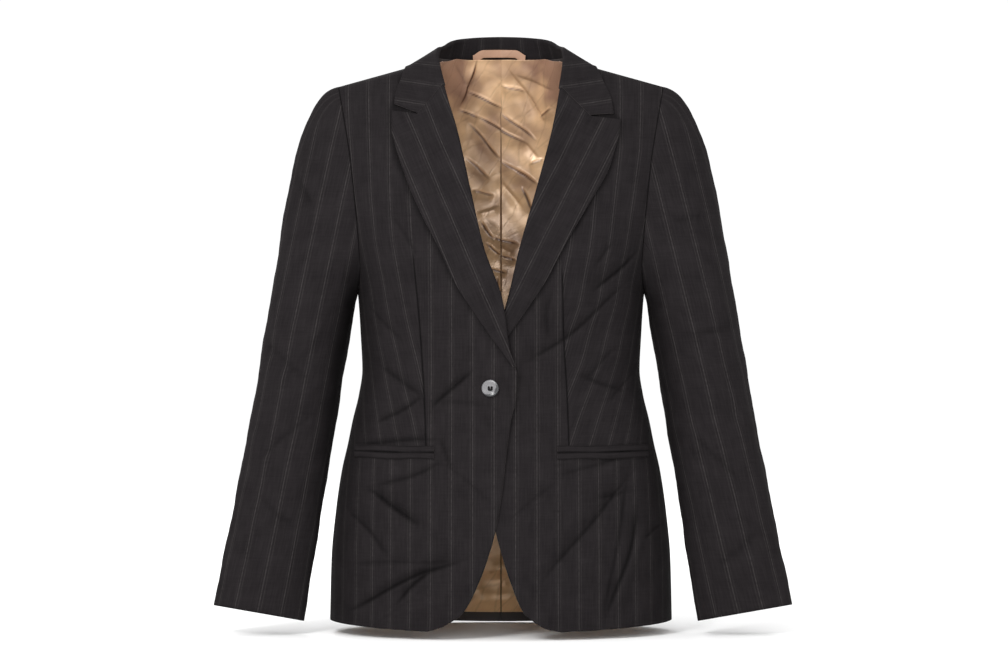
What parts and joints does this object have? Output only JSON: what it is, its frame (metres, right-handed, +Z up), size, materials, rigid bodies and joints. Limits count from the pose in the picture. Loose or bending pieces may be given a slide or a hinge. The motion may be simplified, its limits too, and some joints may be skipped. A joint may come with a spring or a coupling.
{
  "type": "blazer",
  "caption": "Hip-length tailored pinstripe blazer with peak lapels, jetted pockets and a single button closing, hollow and open at neck, cuffs and hem.",
  "frame": {"origin": "between the shoulders, level with the side of the neck and in the plane of the side seams", "axes": "+Z up towards the neck, +Y to the wearer's back, so the front faces -Y; the wearer's left is +X"},
  "size_m": [0.6995, 0.2644, 0.7296],
  "materials": {
    "wool": "matte wool suiting, thin pale pinstripe",
    "satin": "golden beige satin lining",
    "button": "polished dark grey"
  },
  "bodies": {
    "root": {"button": "button", "collar": "wool", "hanger_loop": "satin", "left_back": "wool", "left_back_lining": "satin", "left_front": "wool", "left_lapel": "wool", "left_pocket_lower_jet": "wool", "left_pocket_upper_jet": "wool", "left_top_sleeve": "wool", "left_under_sleeve": "wool", "right_back": "wool", "right_back_lining": "satin", "right_front": "wool", "right_lapel": "wool", "right_pocket_lower_jet": "wool", "right_pocket_upper_jet": "wool", "right_top_sleeve": "wool", "right_under_sleeve": "wool"}
  },
  "joints": []
}
